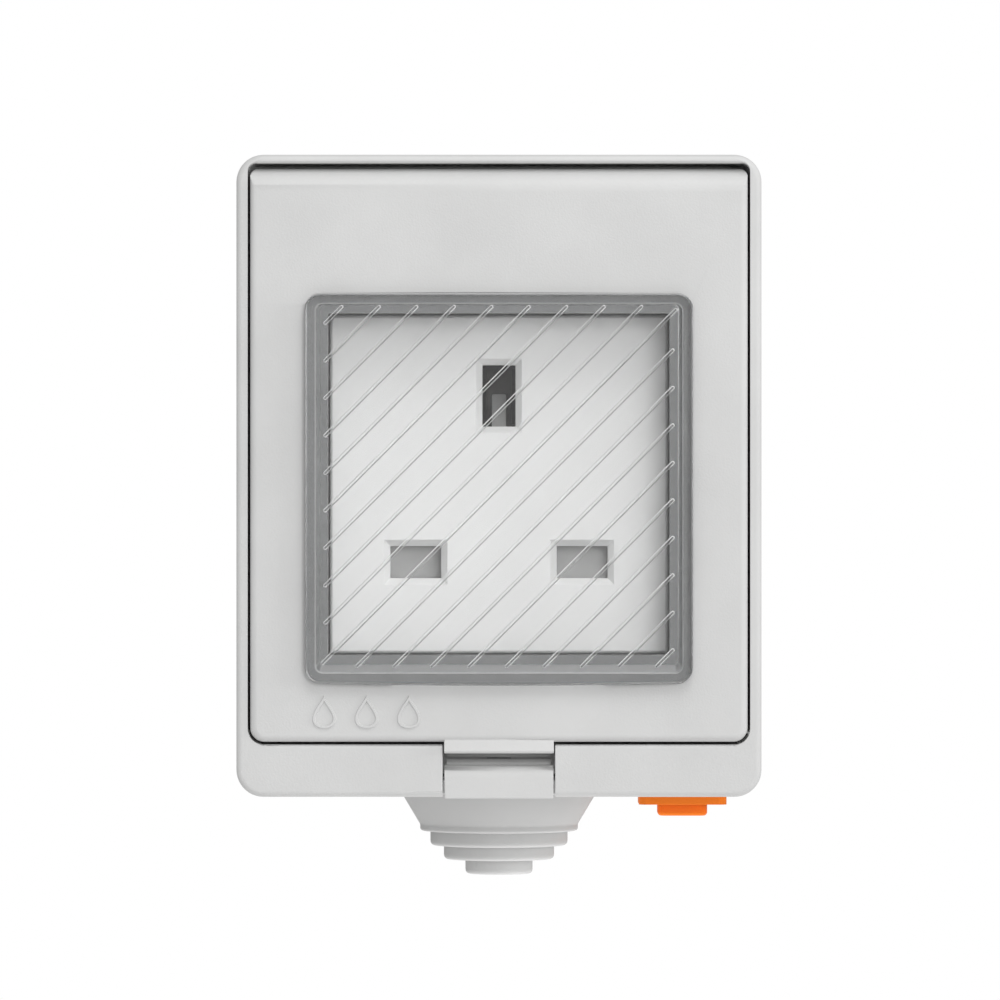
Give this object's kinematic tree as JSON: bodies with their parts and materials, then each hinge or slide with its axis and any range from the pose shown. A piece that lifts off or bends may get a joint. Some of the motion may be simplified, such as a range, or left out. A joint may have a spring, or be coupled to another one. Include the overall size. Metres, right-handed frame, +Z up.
{
  "type": "outdoor weatherproof socket",
  "caption": "Light grey wall-mounted outdoor mains socket with a hinged lid, a ribbed clear window, a latch, a stepped cable grommet and an orange push button below.",
  "frame": {"origin": "centre of the back face, on the wall plane, at half the height of the case front", "axes": "+X to the right seen from the front, +Y into the wall, +Z up"},
  "size_m": [0.0694, 0.0541, 0.0969],
  "materials": {
    "case_plastic": "fine matt moulded light grey",
    "seal_rubber": "matt dark grey",
    "grommet_rubber": "matt light grey",
    "clear_plastic": "polished clear",
    "white_plastic": "satin white",
    "body_plastic": "matt dark grey",
    "shutter_plastic": "matt grey",
    "steel": "plain bright steel",
    "spring_steel": "plain spring strip",
    "brass": "plain stamped brass",
    "board_laminate": "green lacquer",
    "black_plastic": "matt black",
    "capacitor_plastic": "matt yellow",
    "shield_metal": "tinned shield",
    "terminal_plastic": "matt green",
    "orange_rubber": "satin orange"
  },
  "bodies": {
    "case": {"rear_box": "case_plastic", "box_gasket": "seal_rubber", "front_frame": "case_plastic", "case_screws": "steel", "hinge_pin": "steel", "latch_pin": "steel", "latch_spring": "spring_steel", "socket_plate": "white_plastic", "socket_body": "body_plastic", "shutter_spring": "spring_steel", "live_contact": "brass", "neutral_contact": "brass", "earth_contact": "brass", "circuit_board": "board_laminate", "power_relay": "black_plastic", "supply_converter": "black_plastic", "supply_capacitor": "capacitor_plastic", "wireless_module": "shield_metal", "terminal_block": "terminal_plastic", "terminal_clamps": "brass", "terminal_screws": "steel", "cable_grommet": "grommet_rubber", "button_bezel": "orange_rubber", "switch_housing": "black_plastic"},
    "lid": {"lid": "case_plastic", "window_seal": "seal_rubber", "lid_window": "clear_plastic"},
    "latch": {"latch": "case_plastic"},
    "shutter": {"shutter": "shutter_plastic"},
    "button": {"button_cap": "orange_rubber"},
    "switch_stem": {"switch_stem": "black_plastic"}
  },
  "joints": [
    {"name": "lid_hinge", "type": "hinge", "parent": "case", "child": "lid", "pos_m": [0, -0.0494, 0.0375], "axis": [-1, 0, 0], "range_deg": [0, 100]},
    {"name": "latch_pivot", "type": "hinge", "parent": "case", "child": "latch", "pos_m": [0, -0.047, -0.0403], "axis": [1, 0, 0], "range_deg": [0, 20], "stiffness_Nm_per_rad": 0.03, "springref_deg": -17.19, "deforming": ["latch_spring"]},
    {"name": "shutter_slide", "type": "slide", "parent": "case", "child": "shutter", "axis": [0, 0, -1], "range_m": [0, 0.005], "stiffness_N_per_m": 150, "springref_m": -0.003, "deforming": ["shutter_spring"]},
    {"name": "button_press", "type": "slide", "parent": "case", "child": "button", "axis": [0, 0, 1], "range_m": [0, 0.0006], "stiffness_N_per_m": 800, "springref_m": -0.0006},
    {"name": "switch_press", "type": "slide", "parent": "case", "child": "switch_stem", "axis": [0, 0, 1], "range_m": [0, 0.0006]}
  ],
  "couplings": [
    {"joint": "switch_press", "follows": "button_press", "ratio": 1}
  ]
}
